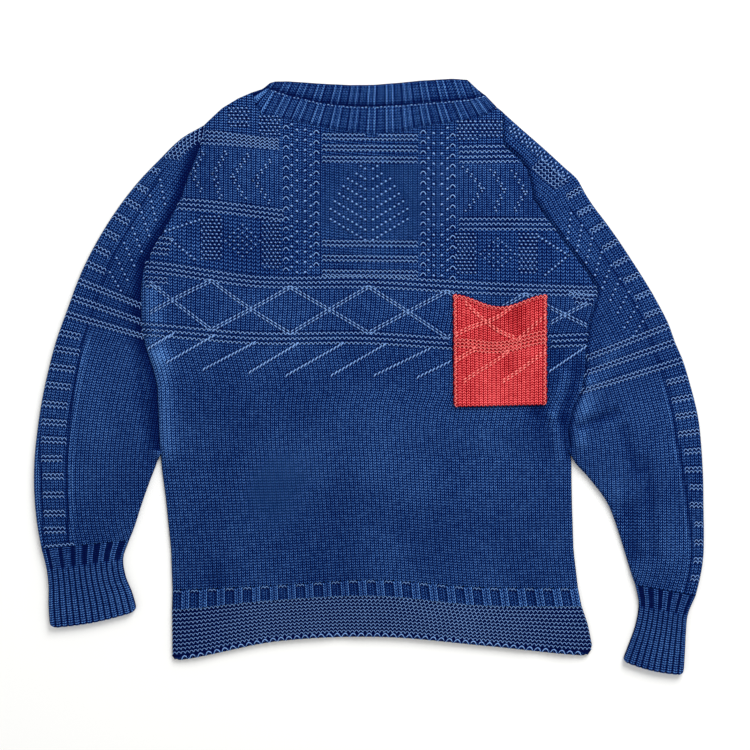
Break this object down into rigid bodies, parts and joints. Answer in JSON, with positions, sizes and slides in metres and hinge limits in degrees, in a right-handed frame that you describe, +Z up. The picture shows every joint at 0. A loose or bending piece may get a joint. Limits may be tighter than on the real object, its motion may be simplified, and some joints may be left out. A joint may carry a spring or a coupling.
{
  "type": "crewneck sweater",
  "caption": "Knitted gansey-style pullover with a wide ribbed neck, raised garter bands and one patch pocket, laid flat.",
  "frame": {"origin": "middle of the laid garment's footprint, on the surface it lies on", "axes": "+Z up from the surface, +Y from the hem towards the neck, +X towards the wearer's left sleeve"},
  "size_m": [0.8046, 0.7158, 0.013],
  "materials": {
    "indigo_cotton_knit": "matt knit, washed indigo",
    "red_cotton_knit": "matt knit"
  },
  "bodies": {
    "root": {"back": "indigo_cotton_knit", "front": "indigo_cotton_knit", "hem_band_back": "indigo_cotton_knit", "hem_band_front": "indigo_cotton_knit", "welt_back": "indigo_cotton_knit", "welt_front": "indigo_cotton_knit", "sleeve_left": "indigo_cotton_knit", "sleeve_right": "indigo_cotton_knit", "cuff_left": "indigo_cotton_knit", "cuff_right": "indigo_cotton_knit", "neckband_back": "indigo_cotton_knit", "neckband_front": "indigo_cotton_knit", "pocket": "red_cotton_knit"}
  },
  "joints": []
}
